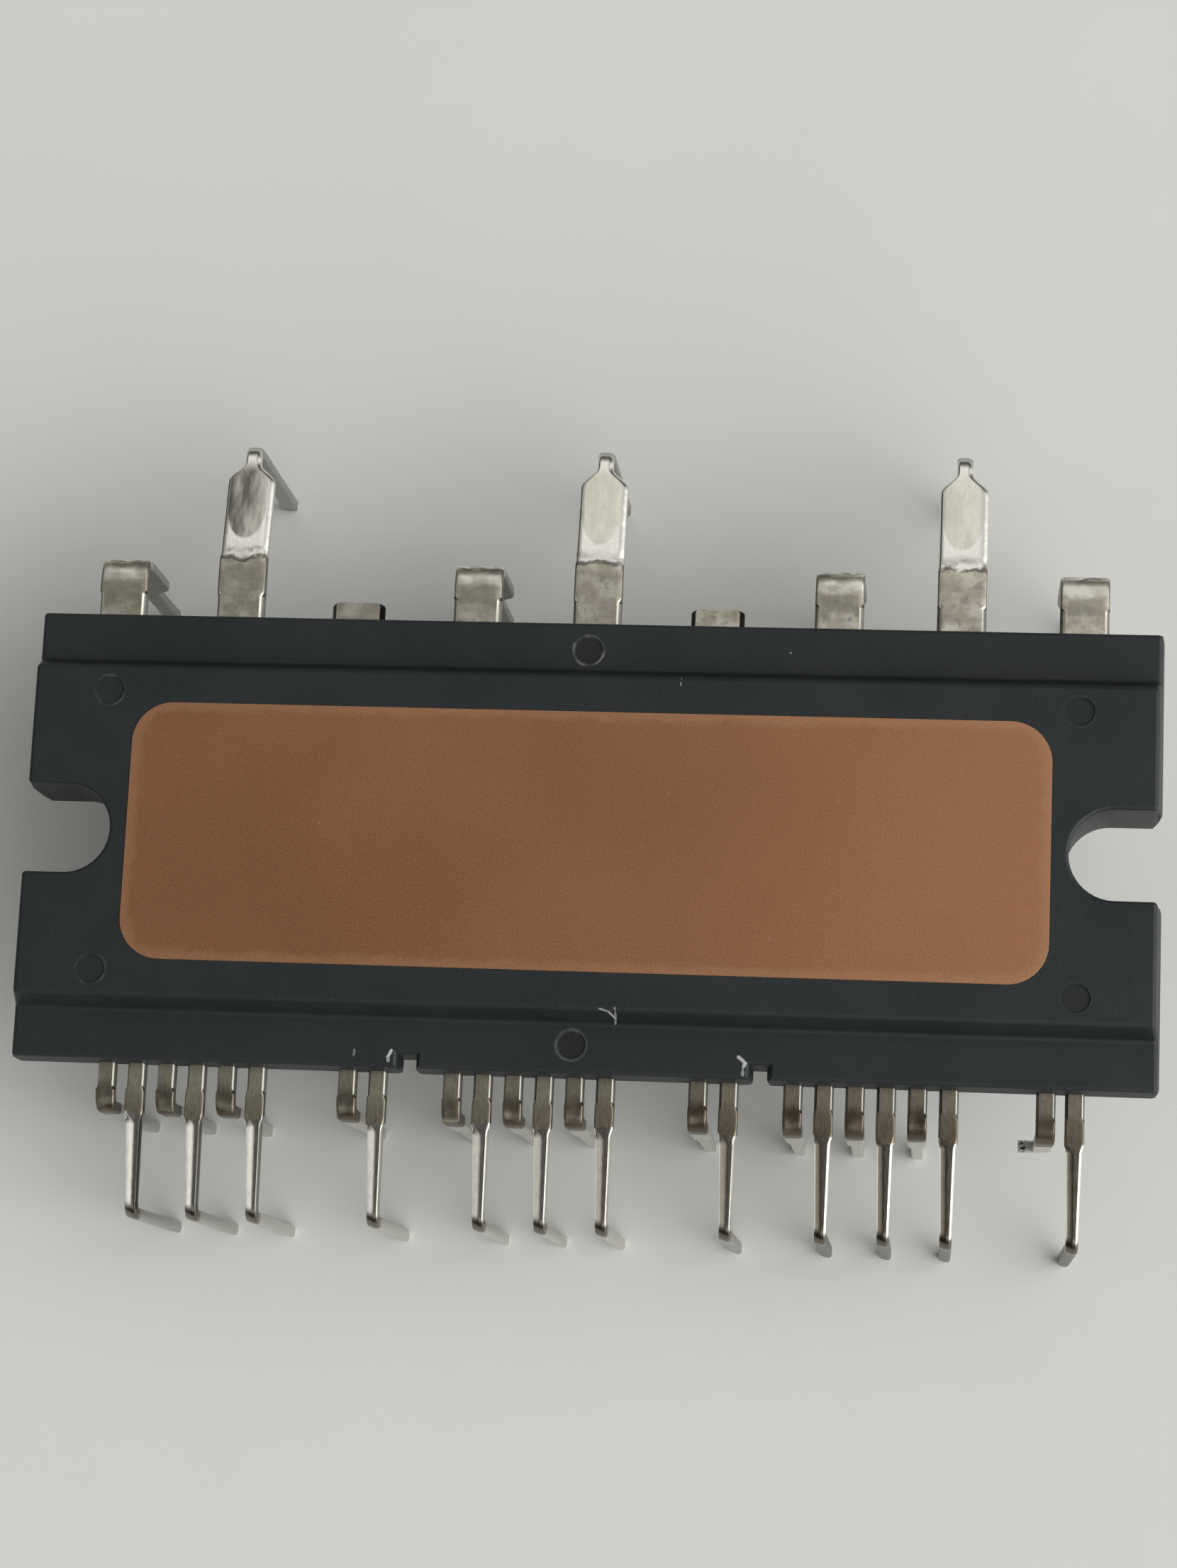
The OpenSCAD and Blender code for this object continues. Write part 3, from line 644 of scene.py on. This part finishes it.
def lead_stations(x, side_sign, from_y, face_y, fold_y=None):
    """Sections of a lead that runs out along Y, then turns down to its tip.

    fold_y is where an outer-row lead starts to slope; an inner-row lead has none.
    """
    slope = OUTER_SLOPE if fold_y else 0.0
    arm = BEND_R + LEAD_T / 2
    bend_y = face_y - BEND_R - LEAD_T
    path = [(y, LEAD_Z, 0.0) for y in [from_y] + spaced(HALF_W - INSIDE_WALL, fold_y or bend_y, STEP)]
    if fold_y:
        run = bend_y - fold_y + arm * math.sin(slope)
        for share in spaced(0.0, 1.0, STEP / run)[1:]:
            path.append((fold_y + run * share, LEAD_Z - run * share * math.tan(slope), slope))
    slope_y, slope_z = path[-1][:2]
    centre_y = slope_y - arm * math.sin(slope)
    centre_z = slope_z - arm * math.cos(slope)
    for tilt in spaced(slope, math.pi / 2, math.pi / 2 / BEND_STEPS)[1:]:
        path.append((centre_y + arm * math.sin(tilt), centre_z + arm * math.cos(tilt), tilt))
    tail_y = path[-1][0]
    path += [(tail_y, z, math.pi / 2) for z in spaced(centre_z, TIP_Z, TAIL_STEP)[1:]]

    stations = []
    along = from_y - HALF_W
    last_y, last_z = path[0][:2]
    for y, z, tilt in path:
        along += math.hypot(y - last_y, z - last_z)
        top = (0, side_sign * math.sin(tilt), math.cos(tilt))
        stations.append(Station((x, side_sign * y, z), (1, 0, 0), top, along))
        last_y, last_z = y, z
    return stations


def follow(stops, value):
    """The values of the stops (place, value, value, ...) at a place, straight between them."""
    before = stops[0]
    for after in stops:
        if after[0] >= value:
            break
        before = after
    share = 0.0 if after[0] <= before[0] else (value - before[0]) / (after[0] - before[0])
    share = min(1.0, max(0.0, share))
    return [a + (b - a) * share for a, b in zip(before[1:], after[1:])]


def shape_stations(stations, width_at, bevel, rims):
    """Widths and edges: sheared and slanting beside the body, then rims that follow their stops."""
    for station in stations:
        half = width_at(station) / 2
        sheared = 1 - ease(station.along, *SHEARED_END)
        rim_w, rim_d, roundness, left = follow(rims, station.along)
        station.half = half
        station.edge_w = min(rim_w + (bevel - rim_w) * sheared, EDGE_MOST * half)
        station.edge_d = rim_d + (DAM_DEPTH - rim_d) * sheared
        station.roundness = roundness + (SHEARED_ROUND - roundness) * sheared
        station.left = left + (1 - left) * sheared
    return stations


def taper_tip(stations):
    """A slightly smaller last section, so that the tip has soft edges."""
    stations[-1].half *= TIP_SHARE
    stations[-1].thick *= TIP_SHARE
    return stations


def inner_width(wide, narrow, length):
    """Width of an inner-row lead, which narrows below its shoulder over a length."""
    return lambda s: wide + (narrow - wide) * ease(-s.middle.z, -SHOULDER_Z, -SHOULDER_Z + length)


def outer_width(wide, narrow, start_y, length):
    """Width of an outer-row lead, which narrows from start_y outwards over a length."""
    return lambda s: wide + (narrow - wide) * ease(abs(s.middle.y), start_y, start_y + length)


class LeadMesh:
    """Collects the swept leads and plain islands of one node, then makes its object."""

    def __init__(self, name):
        self.name = name
        self.points = []
        self.faces = []
        self.along = []
        self.across = []
        self.inset = []

    def sweep(self, stations, dent, crease=None):
        """Skins the sections. dent is the depth of the uneven top face.

        crease is the place, spread and depth of a crumpled zone.
        """
        first = len(self.points)
        rings = [station.outline() for station in stations]
        size = len(rings[0])
        for station, ring in zip(stations, rings):
            shown = ease(station.along, 0.0, DENT_GROWS)
            crumple = 0.0
            if crease:
                crumple = crease[2] * math.exp(-(((station.along - crease[0]) / crease[1]) ** 2))
            for across, height, is_top in ring:
                spot = station.middle + station.side * across
                drop = 0.0
                if is_top:
                    drop = dent * shown * (0.5 + 0.5 * noise.noise(spot * DENTS_PER_MM))
                    drop += crumple * (0.5 + 0.5 * noise.noise(spot * CRUMPLES_PER_MM))
                spot = spot + station.top * (height - drop)
                self.points.append(spot * MM)
                self.along.append(station.along)
                self.across.append(across)
                self.inset.append(station.half - abs(across))
        for i in range(len(rings) - 1):
            for j in range(size):
                k = (j + 1) % size
                a, b = first + i * size, first + (i + 1) * size
                self.faces.append((a + j, b + j, b + k, a + k))
        self.faces.append(tuple(first + j for j in range(size)))
        last = first + (len(rings) - 1) * size
        self.faces.append(tuple(last + j for j in reversed(range(size))))

    def island(self, x0, x1, y0, y1):
        """A flat rectangle of lead frame inside the moulding."""
        first = len(self.points)
        for z in (LEAD_Z - LEAD_T / 2, LEAD_Z + LEAD_T / 2):
            for x, y in ((x0, y0), (x1, y0), (x1, y1), (x0, y1)):
                self.points.append(Vector((x, y, z)) * MM)
                self.along.append(-1.0)
                self.across.append(0.0)
                self.inset.append(1.0)
        for face in ((3, 2, 1, 0), (4, 5, 6, 7), (0, 1, 5, 4), (1, 2, 6, 5), (2, 3, 7, 6), (3, 0, 4, 7)):
            self.faces.append(tuple(first + i for i in face))

    def make(self, material):
        mesh = bpy.data.meshes.new(self.name)
        mesh.from_pydata(self.points, [], self.faces)
        places = {"along": self.along, "across": self.across, "inset": self.inset}
        for key, values in places.items():
            mesh.attributes.new(key, "FLOAT", "POINT").data.foreach_set("value", values)
        mesh.shade_smooth()
        mesh.set_sharp_from_angle(angle=SHARP_ANGLE)
        mesh.materials.append(material)
        piece = bpy.data.objects.new(self.name + "_formed", mesh)
        bpy.context.scene.collection.objects.link(piece)
        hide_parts(self.name)
        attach(piece, "root")


def box_mm(node):
    low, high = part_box(node)
    return low / MM, high / MM


def middle_x(node):
    low, high = box_mm(node)
    return (low.x + high.x) / 2


# Rims: distance from the body, width, depth and roundness of the edge, share of the width at the left
INNER_POWER_RIMS = [(1.1, 0.08, 0.08, 1.0, 1.0), (1.8, 0.12, 0.10, 1.0, 1.0), (3.0, 0.20, 0.12, 0.8, 1.0)]
OUTER_POWER_RIMS = [(2.4, 0.08, 0.08, 1.0, 1.0), (3.0, 0.23, 0.12, 0.5, 0.55), (20.0, 0.23, 0.12, 0.5, 0.6)]
INNER_SIGNAL_RIMS = [(1.0, 0.06, 0.06, 1.0, 1.0), (2.0, 0.10, 0.10, 1.0, 1.0), (3.0, 0.12, 0.12, 1.0, 1.0)]
OUTER_SIGNAL_RIMS = [(1.9, 0.06, 0.06, 1.0, 1.0), (2.4, 0.09, 0.13, 0.25, 4.4), (6.2, 0.08, 0.10, 0.25, 3.6)]
RIGHT_SIGNAL_RIMS = [(1.9, 0.06, 0.06, 1.0, 1.0), (2.3, 0.10, 0.09, 0.25, 2.8), (20.0, 0.09, 0.09, 0.25, 3.0)]
STUB_RIMS = [(0.0, 0.10, 0.10, 1.0, 1.0), (5.0, 0.10, 0.10, 1.0, 1.0)]
STUB_CORNER = 0.16
STUB_CORNER_STEP = 0.03
# The X from which the outer signal leads have the rims of the right group
RIGHT_GROUP_X = 8.0


def power_inner(mesh, x, from_y):
    stations = lead_stations(x, 1, from_y, POWER_INNER_Y)
    width = inner_width(POWER_W, POWER_NECK_W, POWER_SHOULDER_L)
    shape_stations(stations, width, POWER_BEVEL, INNER_POWER_RIMS)
    mesh.sweep(taper_tip(stations), dent=0.03, crease=(2.0, 0.35, 0.06))


def power_outer(mesh, x, from_y):
    stations = lead_stations(x, 1, from_y, POWER_OUTER_Y, POWER_INNER_Y)
    neck_y = POWER_OUTER_Y - BEND_R - LEAD_T - POWER_NECK_L
    width = outer_width(POWER_W, POWER_NECK_W, neck_y - POWER_SHOULDER_L, POWER_SHOULDER_L)
    shape_stations(stations, width, POWER_BEVEL, OUTER_POWER_RIMS)
    mesh.sweep(taper_tip(stations), dent=0.03, crease=(2.75, 0.3, 0.06))


def power_stub(mesh, x, from_y):
    """A lead cut off beside the body, with rounded corners at its end."""
    end_y = HALF_W + STUB_L
    stations = []
    straight = spaced(HALF_W - INSIDE_WALL, end_y - STUB_CORNER, STEP)
    rounded = spaced(end_y - STUB_CORNER, end_y, STUB_CORNER_STEP)[1:]
    for y in [from_y] + straight + rounded:
        stations.append(Station((x, y, LEAD_Z), (1, 0, 0), (0, 0, 1), y - HALF_W))

    def width(station):
        over = max(0.0, station.middle.y - end_y + STUB_CORNER)
        return STUB_W - 2 * (STUB_CORNER - math.sqrt(max(0.0, STUB_CORNER ** 2 - over ** 2)))

    mesh.sweep(shape_stations(stations, width, POWER_BEVEL, STUB_RIMS), dent=0.02)


def signal_inner(mesh, x, from_y):
    stations = lead_stations(x, -1, from_y, SIGNAL_INNER_Y)
    width = inner_width(SIGNAL_W, SIGNAL_TAIL_W, SIGNAL_STEP)
    shape_stations(stations, width, SIGNAL_BEVEL, INNER_SIGNAL_RIMS)
    mesh.sweep(taper_tip(stations), dent=0.02, crease=(1.35, 0.4, 0.08))


def signal_outer(mesh, x, from_y):
    stations = lead_stations(x, -1, from_y, SIGNAL_OUTER_Y, SIGNAL_INNER_Y)
    step = outer_width(SIGNAL_W, SIGNAL_SLOPE_W, SIGNAL_INNER_Y, SIGNAL_STEP)
    slope_y = SIGNAL_INNER_Y + SIGNAL_STEP
    tail_y = SIGNAL_OUTER_Y - BEND_R - LEAD_T

    def width(station):
        share = min(1.0, max(0.0, (abs(station.middle.y) - slope_y) / (tail_y - slope_y)))
        return step(station) - (SIGNAL_SLOPE_W - SIGNAL_TAIL_W) * share

    rims = RIGHT_SIGNAL_RIMS if x > RIGHT_GROUP_X else OUTER_SIGNAL_RIMS
    shape_stations(stations, width, SIGNAL_BEVEL, rims)
    mesh.sweep(taper_tip(stations), dent=0.015, crease=(2.15, 0.15, 0.03))


def signal_broken(mesh, x, from_y):
    """An inner lead whose tail is bent aside below the shoulder and broken short."""
    whole = lead_stations(x, -1, from_y, SIGNAL_INNER_Y)
    kept = [s for s in whole if s.middle.z > SHOULDER_Z - 0.02]
    shape_stations(kept, lambda s: SIGNAL_W, SIGNAL_BEVEL, INNER_SIGNAL_RIMS)
    last = kept[-1]
    half = SIGNAL_TAIL_W / 2
    radius = BROKEN_FILLET + half
    turn_x = x - SIGNAL_W / 2 + BROKEN_FILLET
    for angle in spaced(0.0, math.pi / 2, math.pi / 2 / BROKEN_TURN_STEPS)[1:]:
        centre_x = turn_x - radius + radius * (1 - angle / (math.pi / 2))
        middle = (centre_x + radius * math.cos(angle), last.middle.y, SHOULDER_Z - radius * math.sin(angle))
        side = (math.cos(angle), 0, -math.sin(angle))
        kept.append(Station(middle, side, last.top, last.along + angle * radius))
    end_x = x - SIGNAL_W / 2 - BROKEN_REACH
    turned = kept[-1]
    for bar_x in spaced(turned.middle.x, end_x, STEP)[1:]:
        along = turned.along + turned.middle.x - bar_x
        kept.append(Station((bar_x, last.middle.y, turned.middle.z), (0, 0, -1), last.top, along))
    for station in kept:
        if station.half == 0.0:
            station.half = half
            station.edge_w = BROKEN_EDGE
            station.edge_d = BROKEN_EDGE
    mesh.sweep(kept, dent=0.05)


def power_places():
    """X of the three return leads, and the pitch of the power leads."""
    returns = [middle_x(f"return_lead_{i}") for i in (1, 2, 3)]
    return returns, (returns[1] - returns[0]) / 3


def make_power_leads():
    """Three return leads in the inner row, and three leads in the outer row with their phase islands."""
    beige_core = (rgb(0.62, 0.60, 0.52), rgb(0.73, 0.705, 0.62))
    dark_core = (rgb(0.14, 0.133, 0.117), rgb(0.52, 0.505, 0.45))
    outer_tin = power_material("power_tin", POWER_DIP, POWER_TAIL_AT, beige_core)
    stained_tin = power_material("stained_power_tin", POWER_DIP, POWER_TAIL_AT, dark_core)
    inner_tin = power_material("inner_power_tin", INNER_POWER_DIP, INNER_POWER_TAIL_AT, bands=True)
    returns, pitch = power_places()
    for i, x in enumerate(returns, 1):
        mesh = LeadMesh(f"return_lead_{i}")
        power_inner(mesh, x, box_mm(mesh.name)[0].y)
        mesh.make(inner_tin)
    for i, x in enumerate(returns, 1):
        mesh = LeadMesh(f"phase_lead_{i}")
        low, high = box_mm(mesh.name)
        power_outer(mesh, x + pitch, low.y + ISLAND_W / 2)
        mesh.island(low.x, high.x, low.y, low.y + ISLAND_W)
        mesh.make(stained_tin if i == 1 else outer_tin)


def make_bus():
    """The positive bus: an island with two trimmed stubs, and an arm that carries a whole lead."""
    tin = power_material("bus_tin", INNER_POWER_DIP, INNER_POWER_TAIL_AT, bands=True, stubs=True)
    returns, pitch = power_places()
    bus = LeadMesh("positive_bus")
    low, high = box_mm(bus.name)
    phase_low = box_mm("phase_lead_1")[0]
    arm_top = phase_low.y + ISLAND_W
    arm_low = phase_low.y + ISLAND_W / 2
    bus.island(low.x, BUS_RIGHT, low.y, low.y + ISLAND_W)
    bus.island(BUS_RIGHT - LINK_W, BUS_RIGHT, low.y + ISLAND_W, arm_top)
    bus.island(BUS_RIGHT, high.x, arm_low, arm_top)
    for x in returns[:2]:
        power_stub(bus, x + 2 * pitch, low.y + ISLAND_W / 2)
    power_inner(bus, returns[2] + 2 * pitch, arm_low)
    bus.make(tin)


def signal_tins():
    """Materials of the outer, the inner and the broken signal leads."""
    outer_brown = [(0.0, 0.05), (0.8, 0.1), (1.4, 0.4), (2.0, 0.55)]
    inner_brown = [(0.0, 0.1), (0.7, 0.3), (1.1, 0.75), (1.4, 0.75), (1.5, 0.4), (1.65, 0.4)]
    inner_brown += [(1.75, 1.0), (BROWN_L, 1.0)]
    outer = {
        "dip": SIGNAL_DIP,
        "tail": SIGNAL_TAIL_AT,
        "brown": rgb(0.20, 0.165, 0.122),
        "brown_stops": outer_brown,
        "tail_reflection_tones": (0.44, 0.62, 0.32),
        "tail_losses": (0.06, 0.4),
        "black": ((0.95, 1.0), (0.8, 0.55)),
    }
    inner = {
        "dip": INNER_SIGNAL_DIP,
        "tail": INNER_SIGNAL_TAIL_AT,
        "brown": rgb(0.125, 0.10, 0.074),
        "brown_stops": inner_brown,
        "tail_reflection_tones": (0.55, 0.66, 0.72),
        "tail_losses": (0.05, 0.05),
        "black": ((0.6, 0.7), (0.8, 0.55)),
    }
    outer_tin = signal_material("signal_tin", **outer)
    inner_tin = signal_material("inner_signal_tin", **inner)
    broken_tin = signal_material("broken_signal_tin", torn_from=BROKEN_TEAR_AT, **inner)
    return outer_tin, inner_tin, broken_tin


def make_signal_leads():
    """Signal leads in the inner and the outer row by turns, some with an island for a driver chip."""
    outer_tin, inner_tin, broken_tin = signal_tins()
    for n in range(1, SIGNAL_COUNT + 1):
        mesh = LeadMesh(f"signal_lead_{n:02d}")
        low, high = box_mm(mesh.name)
        x = middle_x(mesh.name)
        from_y = HALF_W - SIGNAL_FINGER_L
        if high.x - low.x > FINGER_MOST_W:
            from_y = -high.y + DRIVER_W / 2
            mesh.island(low.x, high.x, high.y - DRIVER_W, high.y)
        if n == BROKEN_LEAD:
            signal_broken(mesh, high.x - SIGNAL_W / 2, from_y)
            mesh.make(broken_tin)
        elif n % 2:
            signal_inner(mesh, x, from_y)
            mesh.make(inner_tin)
        else:
            signal_outer(mesh, x, from_y)
            mesh.make(outer_tin)


def dress_solids():
    """Materials of the pieces that keep their solids, and soft edges on the moulding."""
    moulding = moulding_material()
    copper = copper_material()
    sheet = plain_material("insulating_sheet", rgb(0.62, 0.58, 0.44), rgb(0.70, 0.66, 0.52), 4.0, 0.6)
    silicon = plain_material("silicon", rgb(0.14, 0.16, 0.19), rgb(0.22, 0.24, 0.28), 2.0, 0.2, 0.6)
    for name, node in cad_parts.items():
        if node.hide_render:
            continue
        material = silicon
        if name == "mould_body":
            material = moulding
        elif name == "heat_spreader":
            material = copper
        elif name == "insulating_sheet":
            material = sheet
        node.data.materials.clear()
        node.data.materials.append(material)
    soften(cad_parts["mould_body"], LIP_R, outer_edges())
    soften(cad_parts["heat_spreader"], COPPER_EDGE_R)


def outer_edges():
    """Geometry nodes that weight the outer edges of the moulding, clear of the marks and the copper."""
    group = bpy.data.node_groups.new("outer_edges", "GeometryNodeTree")
    group.interface.new_socket("Geometry", in_out="INPUT", socket_type="NodeSocketGeometry")
    group.interface.new_socket("Geometry", in_out="OUTPUT", socket_type="NodeSocketGeometry")
    s = Nodes(group)
    position = s.node("GeometryNodeInputPosition").outputs["Position"]
    axes = s.node("ShaderNodeSeparateXYZ", s.vector("MULTIPLY", position, (1 / MM,) * 3))
    x = s.math("ABSOLUTE", axes.outputs["X"])
    y = s.math("ABSOLUTE", axes.outputs["Y"])
    angle = s.node("GeometryNodeInputMeshEdgeAngle").outputs["Unsigned Angle"]
    weight = s.math("GREATER_THAN", angle, EDGE_ANGLE)
    beyond_x = s.math("SUBTRACT", x, COPPER_L / 2 + COPPER_CLEAR)
    beyond_y = s.math("SUBTRACT", y, COPPER_W / 2 + COPPER_CLEAR)
    off_copper = s.math("GREATER_THAN", s.math("MAXIMUM", beyond_x, beyond_y), 0.0)
    off_middle = s.math("ABSOLUTE", s.math("ADD", axes.outputs["Z"], (FLANGE_Z + BODY_T) / 2))
    on_faces = s.math("GREATER_THAN", off_middle, (BODY_T - FLANGE_Z) / 2 - FACE_REACH)
    weight = s.math("MULTIPLY", s.math("MULTIPLY", weight, off_copper), on_faces)
    weight = s.math("MULTIPLY", weight, EDGE_R / LIP_R)
    for across, mark_x, mark_y in ((x, MARK_X, MARK_Y), (axes.outputs["X"], FLANGE_MARK_X, FLANGE_MARK_Y)):
        here = s.node("ShaderNodeCombineXYZ", across, y, 0.0).outputs[0]
        away = s.vector("DISTANCE", here, (mark_x, mark_y, 0.0))
        weight = s.math("MULTIPLY", weight, s.math("GREATER_THAN", away, MARK_CLEAR))
    for notch_x in NOTCHES_X:
        beside = s.math("ABSOLUTE", s.math("SUBTRACT", axes.outputs["X"], notch_x))
        at_wall = s.math("GREATER_THAN", y, HALF_W - LIP_REACH_Y)
        lip = s.math("MULTIPLY", s.math("LESS_THAN", beside, LIP_REACH_X), at_wall)
        below = s.math("LESS_THAN", axes.outputs["Z"], LEAD_Z - LIP_DROP)
        low = s.math("MULTIPLY", below, s.math("LESS_THAN", off_middle, LIP_REACH_Z))
        corner = s.math("GREATER_THAN", angle, LIP_ANGLE)
        weight = s.math("MAXIMUM", weight, s.math("MULTIPLY", s.math("MULTIPLY", lip, low), corner))
    stored = s.node("GeometryNodeStoreNamedAttribute", data_type="FLOAT", domain="EDGE")
    s.put(stored.inputs["Geometry"], s.node("NodeGroupInput").outputs["Geometry"])
    s.put(stored.inputs["Name"], "bevel_weight_edge")
    s.put(stored.inputs["Value"], weight)
    s.put(s.node("NodeGroupOutput").inputs["Geometry"], stored.outputs["Geometry"])
    return group


def soften(node, width_mm, weights=None):
    """Rounds the sharp edges of a solid, or those that are weighted, without changing its own mesh."""
    weld = node.modifiers.new("join", "WELD")
    weld.merge_threshold = JOIN_REACH * MM
    flat = node.modifiers.new("flat_faces", "DECIMATE")
    flat.decimate_type = "DISSOLVE"
    flat.angle_limit = FLAT_ANGLE
    if weights:
        node.modifiers.new("weights", "NODES").node_group = weights
    edges = node.modifiers.new("soft_edges", "BEVEL")
    edges.width = width_mm * MM
    edges.segments = EDGE_SEGMENTS
    edges.limit_method = "WEIGHT" if weights else "ANGLE"
    edges.angle_limit = EDGE_ANGLE
    edges.use_clamp_overlap = not weights
    edges.harden_normals = True


def make_floor():
    s = Shader("floor")
    grain = s.noise(s.place(), 0.05, 4.0, 0.6)
    material = s.finish(s.blend(grain, rgb(0.585, 0.590, 0.570), rgb(0.625, 0.630, 0.610)), 0.7)
    half = FLOOR_SIZE / 2
    mesh = bpy.data.meshes.new("floor")
    corners = [(-half, -half), (half, -half), (half, half), (-half, half)]
    mesh.from_pydata([(x, y, TIP_Z * MM) for x, y in corners], [], [(0, 1, 2, 3)])
    mesh.materials.append(material)
    floor = bpy.data.objects.new("floor", mesh)
    bpy.context.scene.collection.objects.link(floor)


def make_light():
    """A wide soft key from the right, a weaker fill from the far side and a glow, under a dim ceiling."""
    world = bpy.data.worlds.new("studio")
    bpy.context.scene.world = world
    world.use_nodes = True
    s = Nodes(world.node_tree)
    direction = s.node("ShaderNodeTexCoord").outputs["Generated"]
    level = AMBIENT
    for towards, strength, narrowness in (KEY, FILL, GLOW):
        facing = s.math("MAXIMUM", s.vector("DOT_PRODUCT", direction, towards), 0.0)
        glow = s.math("MULTIPLY", s.math("POWER", facing, narrowness), strength)
        level = s.math("ADD", glow, level)
    overhead = s.vector("DOT_PRODUCT", direction, SHADE_DIRECTION)
    level = s.math("MULTIPLY", level, s.ease(overhead, SHADE_EDGE, SHADE_MIDDLE, 1.0, 1 - SHADE_DEPTH))
    background = s.tree.nodes["Background"]
    background.inputs["Color"].default_value = rgb(1.0, 0.995, 0.975)
    s.put(background.inputs["Strength"], level)


def make_camera():
    data = bpy.data.cameras.new("camera")
    data.lens = LENS
    data.sensor_width = SENSOR
    data.clip_start = 0.005
    data.clip_end = 50.0
    camera = bpy.data.objects.new("camera", data)
    bpy.context.scene.collection.objects.link(camera)
    right = CAMERA_VIEW.cross(CAMERA_UP).normalized()
    up = right.cross(CAMERA_VIEW).normalized()
    turn = Matrix((right, up, -CAMERA_VIEW.normalized())).transposed().to_4x4()
    camera.matrix_world = Matrix.Translation(CAMERA_AT * MM) @ turn
    bpy.context.scene.camera = camera


make_power_leads()
make_bus()
make_signal_leads()
dress_solids()
make_floor()
make_light()
make_camera()
bpy.context.scene.view_settings.view_transform = "Standard"
